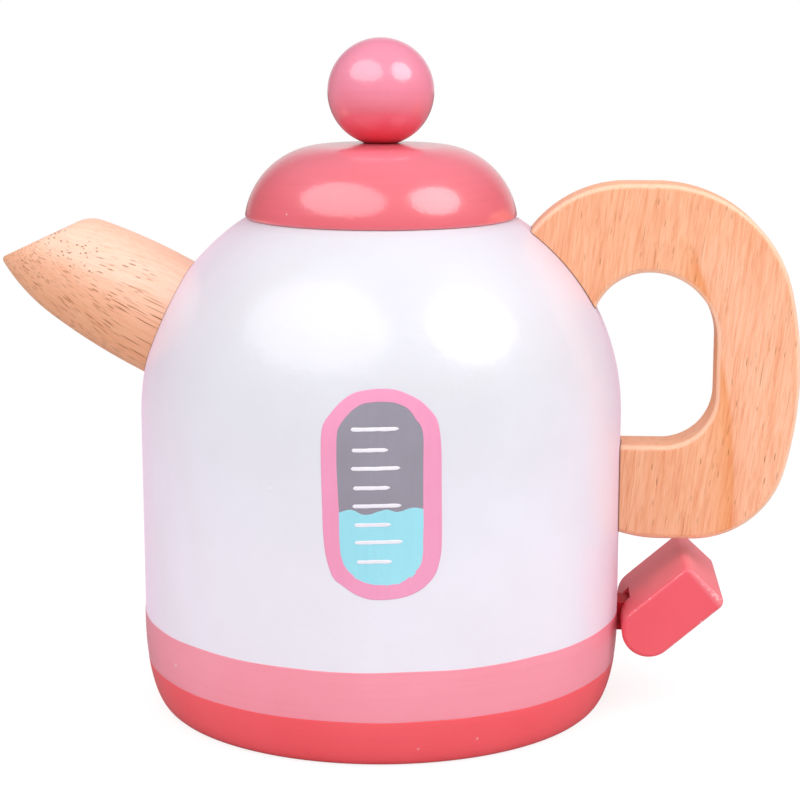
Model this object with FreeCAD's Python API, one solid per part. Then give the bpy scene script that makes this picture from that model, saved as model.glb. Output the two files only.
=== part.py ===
import FreeCAD, Part
import math
import os
from FreeCAD import Rotation, Vector

# Toy kettle of turned and sawn wood, in millimetres. The origin is the middle of the
# underside, +Z is up, +X runs towards the handle and -Y towards the painted gauge.

# Body: a turned, bored-out block with a straight side, a domed shoulder and a rounded foot
body_radius = 54.0
foot_round_height = 19.5
foot_round_width = 5.2
dome_rise = 43.6
dome_radius = 51.6
shoulder_height = 109.9
mouth_wall = 5.0
floor_thickness = 14.0
mouth_chamfer = 0.8

# Lid: one turned piece, a crowned cap with a plug that drops into the bore
lid_overhang = 0.45
lid_height = 16.4
lid_side_radius = 18.0
lid_crown_radius = 180.0
lid_rim_round = 0.7
plug_length = 10.0
plug_clearance = 0.4
plug_chamfer = 1.0

# Lid knob: a ball with a small flat seat, on a dowel
knob_radius = 11.8
knob_seat_depth = 0.6
knob_dowel_radius = 3.0
knob_dowel_depth = 9.0

# Spout: a turned nose leaning out of the shoulder, with a slanted mouth
spout_root_drop = 22.3
spout_rise_deg = 28.0
spout_radius = 13.7
spout_straight = 1.0
spout_belly_radius = 140.0
spout_belly_length = 21.0
spout_nose_radius = 43.0
spout_mouth_reach = 33.6
spout_mouth_deg = 53.0
spout_tip_round = 0.7
spout_brow_round = 8.0
spout_dowel_radius = 5.0
spout_dowel_depth = 12.0

# Handle: a sawn board with two arms, its edges eased all round
handle_thickness = 12.5
handle_underside = 38.5
lower_arm_height = 21.25
hand_gap_drop = 11.4
upper_arm_height = 19.4
hand_gap_width = 20.7
grip_width = 18.3
grip_bow_radius = 82.5
grip_bow_drop = 2.6
corner_upper_radius = 30.4
corner_lower_radius = 21.0
shoulder_sweep_radius = 26.6
shoulder_sweep_deg = 60.0
underside_sweep_radius = 31.0
underside_sweep_deg = 24.0
arm_flat = 6.7
underside_flat = 7.0
gap_upper_radius = 15.1
gap_lower_radius = 11.6
gap_heel_radius = 12.6
gap_heel_deg = 75.0
gap_corner_share = 0.46
arm_root_depth = 29.0
handle_edge_round = 1.3
handle_dowel_radius = 4.0
handle_dowel_depth = 11.0
upper_dowel_rise = 3.8

# Switch: a lever that turns on a steel pin through a wooden tongue let into the body
switch_pivot_out = 6.55
switch_pivot_height = 19.8
switch_rest_deg = 41.0
switch_up_deg = 10.0
switch_down_deg = 80.0
lever_thickness = 11.9
lever_width = 32.0
lever_reach = 17.0
lever_end_slant_deg = 6.0
lever_edge_round = 1.0
lever_corner_round = 2.0
tongue_height = 6.4
tongue_width = 8.0
tongue_depth = 10.0
tongue_side_clearance = 0.3
tongue_nose_clearance = 0.4
tongue_turn_margin_deg = 3.0
pin_radius = 1.4
pin_running_clearance = 0.05
pin_front_cover = 4.8

# Paint: thin films laid on the wood
paint_lift = 0.02
paint_thickness = 0.2
coral_bottom = 0.6
coral_top = 10.6
pink_top = 21.5

# Gauge painted on the front
gauge_turn_deg = 4.5
gauge_bottom = 37.1
gauge_top_drop = 29.4
gauge_width = 24.4
gauge_side_border = 3.5
gauge_end_border = 3.1
water_height = 55.7
mark_first_height = 45.3
mark_pitch = 3.85
mark_top_margin = 8.0
mark_thickness = 0.95
mark_long = 9.8
mark_short = 7.5
mark_start = 5.6
mark_tilt_deg = 1.5

# Seats that are glued
glue_gap = 0.05


def save(shape, node):
    shape.exportStep("parts/" + node + ".step")


def flat_point(across, up):
    return Vector(across, 0, up)


def line(start, end):
    return Part.makeLine(start, end)


def arc(centre, radius, start_deg, end_deg):
    # An arc in the XZ plane, from one angle to another, both taken up from +X
    points = []
    for share in (0.0, 0.5, 1.0):
        angle = math.radians(start_deg + (end_deg - start_deg) * share)
        points.append(flat_point(centre.x + radius * math.cos(angle), centre.z + radius * math.sin(angle)))
    return Part.Arc(points[0], points[1], points[2]).toShape()


def angle_from(centre, point):
    return math.degrees(math.atan2(point.z - centre.z, point.x - centre.x))


def turned(edges):
    return Part.Face(Part.Wire(edges)).revolve(Vector(0, 0, 0), Vector(0, 0, 1), 360)


def board(edges, thickness):
    # An outline in the XZ plane made into a board that is centred on Y = 0
    face = Part.Face(Part.Wire(edges))
    face.translate(Vector(0, -thickness / 2, 0))
    return face.extrude(Vector(0, thickness, 0))


def peg(start, direction, radius, length):
    return Part.makeCylinder(radius, length, start, direction)


def dome_centre():
    return flat_point(body_radius - dome_radius, shoulder_height - dome_rise)


def shoulder_radius(grown=0.0):
    return dome_centre().x + math.sqrt((dome_radius + grown) ** 2 - (dome_rise + grown) ** 2)


def wall_radius_at(height):
    if height <= dome_centre().z:
        return body_radius
    return dome_centre().x + math.sqrt(dome_radius ** 2 - (height - dome_centre().z) ** 2)


def bore_radius():
    return shoulder_radius() - mouth_wall


def lid_rim_radius():
    return shoulder_radius() + lid_overhang


def body_envelope(grown):
    # The outside of the body as a solid, larger all round by the amount given
    radius = body_radius + grown
    top = shoulder_height + grown
    foot_centre = flat_point(body_radius - foot_round_width, foot_round_height)
    foot_low = flat_point(foot_centre.x, -grown)
    foot_side = flat_point(radius, foot_round_height)
    foot_curve = Part.Ellipse(foot_low, foot_side, foot_centre)
    foot = Part.ArcOfEllipse(foot_curve, 0, math.pi / 2).toShape()
    shoulder = flat_point(shoulder_radius(grown), top)
    dome_end_deg = angle_from(dome_centre(), shoulder)
    edges = [
        line(flat_point(0, -grown), foot_low),
        foot,
        line(foot_side, flat_point(radius, dome_centre().z)),
        arc(dome_centre(), dome_radius + grown, 0, dome_end_deg),
        line(shoulder, flat_point(0, top)),
        line(flat_point(0, top), flat_point(0, -grown)),
    ]
    return turned(edges)


def spout_direction():
    rise = math.radians(spout_rise_deg)
    return Vector(-math.cos(rise), 0, math.sin(rise))


def spout_root():
    height = shoulder_height - spout_root_drop
    return flat_point(-wall_radius_at(height), height)


def hand_gap_roof():
    return shoulder_height - hand_gap_drop


def handle_dowels():
    # Both run level, so that the finished board can be pushed on along X
    lower_height = handle_underside + lower_arm_height / 2
    upper_height = hand_gap_roof() + upper_dowel_rise
    seats = {"handle_dowel_lower": lower_height, "handle_dowel_upper": upper_height}
    return {node: flat_point(wall_radius_at(height), height) for node, height in seats.items()}


def switch_pivot():
    return flat_point(body_radius + switch_pivot_out, switch_pivot_height)


def make_body():
    body = body_envelope(0)
    bore_depth = shoulder_height - floor_thickness
    body = body.cut(peg(flat_point(0, floor_thickness), Vector(0, 0, 1), bore_radius(), bore_depth))
    flare = bore_radius() + mouth_chamfer
    flare_start = flat_point(0, shoulder_height - mouth_chamfer)
    body = body.cut(Part.makeCone(bore_radius(), flare, mouth_chamfer, flare_start))

    hole_radius = spout_dowel_radius + glue_gap
    hole_start = spout_root() - spout_direction() * (spout_dowel_depth + glue_gap)
    body = body.cut(peg(hole_start, spout_direction(), hole_radius, 2 * spout_dowel_depth))

    for seat in handle_dowels().values():
        start = seat - Vector(handle_dowel_depth + glue_gap, 0, 0)
        hole_radius = handle_dowel_radius + glue_gap
        body = body.cut(peg(start, Vector(1, 0, 0), hole_radius, 2 * handle_dowel_depth))
    return body.cut(tongue_mortise())


def tongue_mortise():
    # The slot for the tongue, which runs on out through the paint
    height = tongue_height + 2 * glue_gap
    width = tongue_width + 2 * glue_gap
    corner = Vector(body_radius - tongue_depth - glue_gap, -width / 2, switch_pivot_height - height / 2)
    return Part.makeBox(2 * tongue_depth, width, height, corner)


def make_lid():
    # The side arc and the crown arc share a tangent where they meet
    crown_top = shoulder_height + lid_height
    crown_centre = flat_point(0, crown_top - lid_crown_radius)
    side_out = lid_rim_radius() - lid_side_radius
    side_rise = math.sqrt((lid_crown_radius - lid_side_radius) ** 2 - side_out ** 2)
    side_centre = flat_point(side_out, crown_centre.z + side_rise)
    meet_deg = angle_from(crown_centre, side_centre)
    rim_sin = (shoulder_height - side_centre.z) / lid_side_radius
    rim_deg = math.degrees(math.asin(rim_sin))
    rim_edge = flat_point(side_out + lid_side_radius * math.cos(math.radians(rim_deg)), shoulder_height)
    plug_radius = bore_radius() - plug_clearance
    plug_bottom = shoulder_height - plug_length
    plug_side_end = flat_point(plug_radius, plug_bottom + plug_chamfer)
    plug_face_edge = flat_point(plug_radius - plug_chamfer, plug_bottom)
    edges = [
        arc(crown_centre, lid_crown_radius, 90, meet_deg),
        arc(side_centre, lid_side_radius, meet_deg, rim_deg),
        line(rim_edge, flat_point(plug_radius, shoulder_height)),
        line(flat_point(plug_radius, shoulder_height), plug_side_end),
        line(plug_side_end, plug_face_edge),
        line(plug_face_edge, flat_point(0, plug_bottom)),
        line(flat_point(0, plug_bottom), flat_point(0, crown_top)),
    ]
    lid = turned(edges)
    rim = [edge for edge in lid.Edges if is_ring(edge, rim_edge.x, shoulder_height)]
    lid = lid.makeFillet(lid_rim_round, rim)
    seat = knob_seat_height()
    facing = Part.makeBox(4 * knob_radius, 4 * knob_radius, lid_height)
    facing.translate(Vector(-2 * knob_radius, -2 * knob_radius, seat))
    lid = lid.cut(facing.common(peg(flat_point(0, seat), Vector(0, 0, 1), 2 * knob_radius, lid_height)))
    hole_depth = knob_dowel_depth + glue_gap
    hole_radius = knob_dowel_radius + glue_gap
    return lid.cut(peg(flat_point(0, seat - hole_depth), Vector(0, 0, 1), hole_radius, 2 * hole_depth))


def is_ring(edge, radius, height):
    round_length = 2 * math.pi * radius
    return abs(edge.Length - round_length) < 0.01 and abs(edge.CenterOfMass.z - height) < 0.01


def knob_seat_height():
    # The crown is turned flat under the knob, as wide as the knob's own seat
    seat_radius = math.sqrt(knob_radius ** 2 - (knob_radius - knob_seat_depth) ** 2)
    crown_drop = lid_crown_radius - math.sqrt(lid_crown_radius ** 2 - seat_radius ** 2)
    return shoulder_height + lid_height - crown_drop


def make_knob():
    seat = knob_seat_height()
    centre = flat_point(0, seat + knob_radius - knob_seat_depth)
    ball = Part.makeSphere(knob_radius, centre)
    ball = ball.cut(peg(flat_point(0, seat - knob_radius), Vector(0, 0, 1), knob_radius, knob_radius))
    hole_depth = knob_dowel_depth + glue_gap
    hole_radius = knob_dowel_radius + glue_gap
    return ball.cut(peg(flat_point(0, seat), Vector(0, 0, 1), hole_radius, hole_depth))


def make_knob_dowel():
    start = flat_point(0, knob_seat_height() - knob_dowel_depth)
    return peg(start, Vector(0, 0, 1), knob_dowel_radius, 2 * knob_dowel_depth)


def make_spout():
    # One half is turned about +Z and sanded at the mouth, and the other half mirrors it
    # A long slack belly runs smoothly into the rounder nose
    belly_centre = flat_point(spout_radius - spout_belly_radius, spout_straight)
    belly_end_deg = math.degrees(math.asin(spout_belly_length / spout_belly_radius))
    nose_centre = belly_centre + polar(spout_belly_radius - spout_nose_radius, belly_end_deg)
    nose_end_deg = math.degrees(math.acos(-nose_centre.x / spout_nose_radius))
    nose_tip = nose_centre + polar(spout_nose_radius, nose_end_deg)
    root_depth = 2 * spout_radius
    edges = [
        line(flat_point(0, -root_depth), flat_point(spout_radius, -root_depth)),
        line(flat_point(spout_radius, -root_depth), flat_point(spout_radius, spout_straight)),
        arc(belly_centre, spout_belly_radius, 0, belly_end_deg),
        arc(nose_centre, spout_nose_radius, belly_end_deg, nose_end_deg),
        line(nose_tip, flat_point(0, -root_depth)),
    ]
    half = Part.Face(Part.Wire(edges)).revolve(Vector(0, 0, 0), Vector(0, 0, 1), 180)

    # Everything beyond the slanted mouth is sawn off
    waste_size = 4 * spout_nose_radius
    waste = Part.makeBox(waste_size, waste_size, waste_size, Vector(-waste_size / 2, -waste_size / 2, 0))
    waste.rotate(Vector(0, 0, 0), Vector(0, 1, 0), 90 - spout_mouth_deg)
    waste.translate(flat_point(0, spout_mouth_reach))
    half = half.cut(waste)

    lean = Rotation(Vector(0, 0, 1), spout_direction())
    half.Placement = FreeCAD.Placement(spout_root(), lean)
    half = soften_mouth(half)
    spout = half.fuse(half.mirror(Vector(0, 0, 0), Vector(0, 1, 0))).removeSplitter()
    spout = spout.cut(body_envelope(glue_gap))
    hole = peg(
        spout_root() - spout_direction() * spout_dowel_depth, spout_direction(),
        spout_dowel_radius + glue_gap, 2 * spout_dowel_depth + glue_gap,
    )
    return spout.cut(hole)


def soften_mouth(half):
    # Sanded over: hardly at the tip, which lies furthest out, and more up at the brow
    rim = [edge for edge in half.Edges if is_mouth_rim(edge)][0]
    if rim.valueAt(rim.FirstParameter).x < rim.valueAt(rim.LastParameter).x:
        return half.makeFillet(spout_tip_round, spout_brow_round, [rim])
    return half.makeFillet(spout_brow_round, spout_tip_round, [rim])


def is_mouth_rim(edge):
    # The rim bulges out to one side, while the sawn middle of the half lies on Y = 0
    mouth_point = spout_root() + spout_direction() * spout_mouth_reach
    slope = math.radians(spout_mouth_deg - spout_rise_deg)
    normal = Vector(-math.sin(slope), 0, math.cos(slope))
    middle = edge.valueAt((edge.FirstParameter + edge.LastParameter) / 2)
    on_mouth = all(abs((corner.Point - mouth_point).dot(normal)) < 0.01 for corner in edge.Vertexes)
    return on_mouth and abs(middle.y) > spout_radius / 4


def make_spout_dowel():
    start = spout_root() - spout_direction() * spout_dowel_depth
    return peg(start, spout_direction(), spout_dowel_radius, 2 * spout_dowel_depth)


def make_handle():
    gap_floor = handle_underside + lower_arm_height
    gap_roof = hand_gap_roof()
    top = gap_roof + upper_arm_height
    gap_side = body_radius + hand_gap_width
    grip_side = gap_side + grip_width
    hidden = body_radius - arm_root_depth

    # Outside of the board, from the shoulder over the top and down to the lower arm
    bow_height = (handle_underside + top) / 2 - grip_bow_drop
    bow_centre = flat_point(grip_side - grip_bow_radius, bow_height)
    upper_centre = corner_inside(bow_centre, corner_upper_radius, top - corner_upper_radius)
    lower_centre = corner_inside(bow_centre, corner_lower_radius, handle_underside + corner_lower_radius)
    upper_meet_deg = angle_from(bow_centre, upper_centre)
    lower_meet_deg = angle_from(bow_centre, lower_centre)
    sweep_centre = flat_point(upper_centre.x - arm_flat, top - shoulder_sweep_radius)
    under_centre = flat_point(lower_centre.x - underside_flat, handle_underside + underside_sweep_radius)

    # Inside of the hand gap, which the body closes on the left. Its corners stay within its height
    widest_corner = (gap_roof - gap_floor) * gap_corner_share
    roof_radius = min(gap_upper_radius, widest_corner)
    floor_radius = min(gap_lower_radius, widest_corner)
    roof_corner = flat_point(gap_side - roof_radius, gap_roof - roof_radius)
    floor_corner = flat_point(gap_side - floor_radius, gap_floor + floor_radius)
    heel_centre = flat_point(roof_corner.x, gap_roof - gap_heel_radius)

    outside = [
        arc(sweep_centre, shoulder_sweep_radius, 90 + shoulder_sweep_deg, 90),
        line(flat_point(sweep_centre.x, top), flat_point(upper_centre.x, top)),
        arc(upper_centre, corner_upper_radius, 90, upper_meet_deg),
        arc(bow_centre, grip_bow_radius, upper_meet_deg, lower_meet_deg),
        arc(lower_centre, corner_lower_radius, lower_meet_deg, -90),
        line(flat_point(lower_centre.x, handle_underside), flat_point(under_centre.x, handle_underside)),
        arc(under_centre, underside_sweep_radius, 270, 270 - underside_sweep_deg),
    ]
    inside = [
        line(flat_point(hidden, gap_floor), flat_point(floor_corner.x, gap_floor)),
        arc(floor_corner, floor_radius, 270, 360),
        line(flat_point(gap_side, floor_corner.z), flat_point(gap_side, roof_corner.z)),
        arc(roof_corner, roof_radius, 0, 90),
        arc(heel_centre, gap_heel_radius, 90, 90 + gap_heel_deg),
    ]
    outside_start = outside[0].valueAt(outside[0].FirstParameter)
    outside_end = outside[-1].valueAt(outside[-1].LastParameter)
    heel_end = inside[-1].valueAt(inside[-1].LastParameter)
    lower_end = [
        line(outside_end, flat_point(hidden, outside_end.z)),
        line(flat_point(hidden, outside_end.z), flat_point(hidden, gap_floor)),
    ]
    upper_end = [
        line(heel_end, flat_point(hidden, heel_end.z)),
        line(flat_point(hidden, heel_end.z), flat_point(hidden, outside_start.z)),
        line(flat_point(hidden, outside_start.z), outside_start),
    ]
    edges = outside + lower_end + inside + upper_end
    handle = board(edges, handle_thickness)
    rims = [edge for edge in handle.Edges if abs(abs(edge.CenterOfMass.y) - handle_thickness / 2) < 0.01]
    handle = handle.makeFillet(handle_edge_round, rims)
    handle = handle.cut(body_envelope(glue_gap))
    for seat in handle_dowels().values():
        start = seat - Vector(handle_dowel_depth, 0, 0)
        hole_length = 2 * handle_dowel_depth + glue_gap
        handle = handle.cut(peg(start, Vector(1, 0, 0), handle_dowel_radius + glue_gap, hole_length))
    return handle


def corner_inside(bow_centre, corner_radius, height):
    # Centre of a corner arc that runs smoothly into the bowed side of the grip
    reach = grip_bow_radius - corner_radius
    return flat_point(bow_centre.x + math.sqrt(reach ** 2 - (height - bow_centre.z) ** 2), height)


def make_handle_dowel(seat):
    start = seat - Vector(handle_dowel_depth, 0, 0)
    return peg(start, Vector(1, 0, 0), handle_dowel_radius, 2 * handle_dowel_depth)


def make_tongue():
    # A flat lug with a full round nose about the pin
    nose = tongue_height / 2
    root = body_radius - tongue_depth
    pivot = switch_pivot()
    edges = [
        line(flat_point(root, pivot.z - nose), flat_point(pivot.x, pivot.z - nose)),
        arc(pivot, nose, -90, 90),
        line(flat_point(pivot.x, pivot.z + nose), flat_point(root, pivot.z + nose)),
        line(flat_point(root, pivot.z + nose), flat_point(root, pivot.z - nose)),
    ]
    tongue = board(edges, tongue_width)
    start = pivot - Vector(0, tongue_width, 0)
    return tongue.cut(peg(start, Vector(0, 1, 0), pin_radius + pin_running_clearance, 2 * tongue_width))


def lever_pocket():
    # Room for the tongue at both ends of the travel, in the frame of the level lever
    radius = tongue_height / 2 + tongue_nose_clearance
    first_deg = 180 - switch_rest_deg - switch_up_deg - tongue_turn_margin_deg
    last_deg = 180 - switch_rest_deg + switch_down_deg + tongue_turn_margin_deg
    reach = 2 * lever_thickness
    upper = polar(radius, first_deg - 90)
    lower = polar(radius, last_deg + 90)
    upper_far = upper + polar(reach, first_deg)
    lower_far = lower + polar(reach, last_deg)
    edges = [
        arc(flat_point(0, 0), radius, last_deg + 90 - 360, first_deg - 90),
        line(upper, upper_far),
        line(upper_far, polar(2 * reach, (first_deg + last_deg) / 2)),
        line(polar(2 * reach, (first_deg + last_deg) / 2), lower_far),
        line(lower_far, lower),
    ]
    return board(edges, tongue_width + 2 * tongue_side_clearance)


def polar(radius, angle_deg):
    angle = math.radians(angle_deg)
    return flat_point(radius * math.cos(angle), radius * math.sin(angle))


def make_lever():
    # Drawn level with the pin at the origin, then tipped up to where it rests
    half = lever_thickness / 2
    slant = half * math.tan(math.radians(lever_end_slant_deg))
    top_end = flat_point(lever_reach - slant, half)
    low_end = flat_point(lever_reach + slant, -half)
    edges = [
        arc(flat_point(0, 0), half, 90, 270),
        line(flat_point(0, -half), low_end),
        line(low_end, top_end),
        line(top_end, flat_point(0, half)),
    ]
    lever = board(edges, lever_width)
    ends = [edge for edge in lever.Edges if is_across(edge) and edge.CenterOfMass.x > lever_reach / 2]
    lever = lever.makeFillet(lever_corner_round, ends)
    rims = [edge for edge in lever.Edges if abs(abs(edge.CenterOfMass.y) - lever_width / 2) < 0.01]
    lever = lever.makeFillet(lever_edge_round, rims)
    lever = lever.cut(lever_pocket())
    bore_length = lever_width - pin_front_cover
    lever = lever.cut(peg(Vector(0, lever_width / 2, 0), Vector(0, -1, 0), pin_radius, bore_length))
    lever.rotate(Vector(0, 0, 0), Vector(0, 1, 0), -switch_rest_deg)
    lever.translate(switch_pivot())
    return lever


def is_across(edge):
    start = edge.valueAt(edge.FirstParameter)
    end = edge.valueAt(edge.LastParameter)
    return abs(abs(start.y - end.y) - lever_width) < 0.01


def make_pin():
    # Driven in from the back, so that the front cheek stays whole
    start = switch_pivot() + Vector(0, lever_width / 2, 0)
    return peg(start, Vector(0, -1, 0), pin_radius, lever_width - pin_front_cover)


def paint_film(layer):
    inner = paint_lift + layer * (paint_thickness + paint_lift)
    return body_envelope(inner + paint_thickness).cut(body_envelope(inner))


def make_band(bottom, top):
    side = 4 * body_radius
    slab = Part.makeBox(side, side, top - bottom, Vector(-side / 2, -side / 2, bottom))
    return paint_film(0).common(slab).cut(tongue_mortise())


def gauge_top():
    return shoulder_height - gauge_top_drop


def gauge_outline(border, end_border):
    # A slot shape with full round ends, seen from the front
    half = gauge_width / 2 - border
    low = gauge_bottom + end_border + half
    high = gauge_top() - end_border - half
    edges = [
        arc(flat_point(0, high), half, 0, 180),
        line(flat_point(-half, high), flat_point(-half, low)),
        arc(flat_point(0, low), half, 180, 360),
        line(flat_point(half, low), flat_point(half, high)),
    ]
    return edges


def print_on_front(edges, layer):
    # The outline is carried straight back on to the curved front of the body
    face = Part.Face(Part.Wire(edges))
    prism = face.extrude(Vector(0, -2 * body_radius, 0))
    film = paint_film(layer).common(prism)
    film.rotate(Vector(0, 0, 0), Vector(0, 0, 1), gauge_turn_deg)
    return film


def make_gauge_frame():
    hole = Part.Face(Part.Wire(gauge_outline(gauge_side_border, gauge_end_border)))
    prism = Part.Face(Part.Wire(gauge_outline(0, 0))).cut(hole).extrude(Vector(0, -2 * body_radius, 0))
    film = paint_film(0).common(prism)
    film.rotate(Vector(0, 0, 0), Vector(0, 0, 1), gauge_turn_deg)
    return film


def make_gauge_field(bottom, top):
    # The part of the window between two heights
    window = print_on_front(gauge_outline(gauge_side_border + paint_lift, gauge_end_border + paint_lift), 0)
    side = 4 * body_radius
    return window.common(Part.makeBox(side, side, top - bottom, Vector(-side / 2, -side / 2, bottom)))


def make_gauge_marks():
    # Long and short by turns, for as far up as there is room
    marks = []
    room = gauge_top() - mark_top_margin - mark_first_height
    for index in range(math.floor(room / mark_pitch) + 1):
        length = mark_short
        if index % 2 == 1:
            length = mark_long
        half = mark_thickness / 2
        start = flat_point(half, 0)
        end = flat_point(length - half, 0)
        edges = [
            arc(end, half, -90, 90),
            line(end + flat_point(0, half), start + flat_point(0, half)),
            arc(start, half, 90, 270),
            line(start + flat_point(0, -half), end + flat_point(0, -half)),
        ]
        height = mark_first_height + index * mark_pitch
        wire = Part.Wire(edges)
        wire.rotate(Vector(0, 0, 0), Vector(0, 1, 0), -mark_tilt_deg)
        wire.translate(flat_point(mark_start - gauge_width / 2, height))
        marks.append(print_on_front(wire.Edges, 1))
    return Part.makeCompound([solid for mark in marks for solid in mark.Solids])


os.makedirs("parts", exist_ok=True)
save(make_body(), "body")
save(make_lid(), "lid")
save(make_knob(), "lid_knob")
save(make_knob_dowel(), "knob_dowel")
save(make_spout(), "spout")
save(make_spout_dowel(), "spout_dowel")
save(make_handle(), "handle")
for dowel_node, dowel_seat in handle_dowels().items():
    save(make_handle_dowel(dowel_seat), dowel_node)
save(make_tongue(), "switch_tongue")
save(make_lever(), "switch_lever")
save(make_pin(), "switch_pin")
save(make_band(coral_bottom, coral_top), "band_coral")
save(make_band(coral_top + paint_lift, pink_top), "band_pink")
save(make_gauge_frame(), "gauge_frame")
save(make_gauge_field(water_height + paint_lift, gauge_top()), "gauge_window")
save(make_gauge_field(gauge_bottom, water_height), "gauge_water")
save(make_gauge_marks(), "gauge_marks")
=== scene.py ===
import bpy
import math
from mathutils import Matrix, Vector, noise


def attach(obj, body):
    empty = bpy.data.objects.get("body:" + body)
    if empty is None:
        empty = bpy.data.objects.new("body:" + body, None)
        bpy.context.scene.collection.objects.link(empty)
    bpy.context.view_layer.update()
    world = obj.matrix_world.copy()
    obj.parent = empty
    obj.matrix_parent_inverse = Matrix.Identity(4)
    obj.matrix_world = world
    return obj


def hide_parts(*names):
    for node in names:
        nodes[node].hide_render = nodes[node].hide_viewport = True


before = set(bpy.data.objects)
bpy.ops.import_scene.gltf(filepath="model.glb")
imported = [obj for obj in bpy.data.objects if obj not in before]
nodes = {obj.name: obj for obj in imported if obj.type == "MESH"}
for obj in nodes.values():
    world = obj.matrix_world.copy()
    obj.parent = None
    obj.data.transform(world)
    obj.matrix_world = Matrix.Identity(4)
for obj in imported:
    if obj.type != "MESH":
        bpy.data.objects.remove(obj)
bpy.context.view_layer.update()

# Toy kettle of turned wood: painted body, lid, knob and switch, oiled rubberwood spout and handle.
# Lengths in the dictionaries are millimetres in the CAD's frame, and mm turns them to metres.
mm = 0.001
scene = bpy.context.scene
print("frame loaded:", len(nodes), "nodes")


def linearColour(hexText):
    channels = [int(hexText[i:i + 2], 16) / 255 for i in (1, 3, 5)]
    return tuple(c / 12.92 if c <= 0.04045 else ((c + 0.055) / 1.055) ** 2.4 for c in channels) + (1.0,)


def addNode(tree, kind, settings=None, links=None):
    # settings go to a socket of that name or number, or else to the node's own property
    node = tree.nodes.new("ShaderNode" + kind)
    for name, value in (settings or {}).items():
        if name == "stops":
            ramp = node.color_ramp
            ramp.elements[0].position, ramp.elements[1].position = value[0][0], value[-1][0]
            for place, shade in value[1:-1]:
                ramp.elements.new(place)
            for element, (place, shade) in zip(ramp.elements, value):
                element.color = linearColour(shade)
        elif isinstance(name, int) or name in node.inputs:
            node.inputs[name].default_value = value
        else:
            setattr(node, name, value)
    for name, source in (links or {}).items():
        tree.links.new(source, node.inputs[name])
    return node


def newMaterial(name):
    material = bpy.data.materials.new(name)
    material.use_nodes = True
    material.node_tree.nodes.clear()
    return material, material.node_tree


def smoothStep(low, high, value):
    share = min(1.0, max(0.0, (value - low) / (high - low)))
    return share * share * (3 - 2 * share)


def arcPoints(centre, radius, fromDeg, toDeg, steps):
    angles = [math.radians(fromDeg + (toDeg - fromDeg) * i / steps) for i in range(steps + 1)]
    return [(centre[0] + radius * math.cos(a), centre[1] + radius * math.sin(a)) for a in angles]


def makePiece(name, points, faces, materials, slots=None):
    mesh = bpy.data.meshes.new(name)
    mesh.from_pydata([(x * mm, y * mm, z * mm) for x, y, z in points], [], faces)
    for material in materials:
        mesh.materials.append(material)
    if slots:
        mesh.polygons.foreach_set("material_index", slots)
    mesh.polygons.foreach_set("use_smooth", [True] * len(mesh.polygons))
    mesh.validate()
    mesh.update()
    piece = bpy.data.objects.new(name, mesh)
    scene.collection.objects.link(piece)
    return piece


def turnedPiece(name, profile, around, materials):
    # profile: (radius, height, material number) from the axis at one end to the axis at the other
    points, faces, slots, rings = [], [], [], []
    for radius, height, slot in profile:
        if radius < 1e-4:
            rings.append([len(points)])
            points.append((0, 0, height))
            continue
        rings.append(range(len(points), len(points) + around))
        for j in range(around):
            turn = 2 * math.pi * j / around
            points.append((radius * math.cos(turn), radius * math.sin(turn), height))
    for k in range(len(rings) - 1):
        low, high = rings[k], rings[k + 1]
        for j in range(around):
            n = (j + 1) % around
            if len(low) == 1:
                faces.append((low[0], high[n], high[j]))
            elif len(high) == 1:
                faces.append((low[j], low[n], high[0]))
            else:
                faces.append((low[j], low[n], high[n], high[j]))
            slots.append(profile[k][2])
    return makePiece(name, points, faces, materials, slots)


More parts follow.
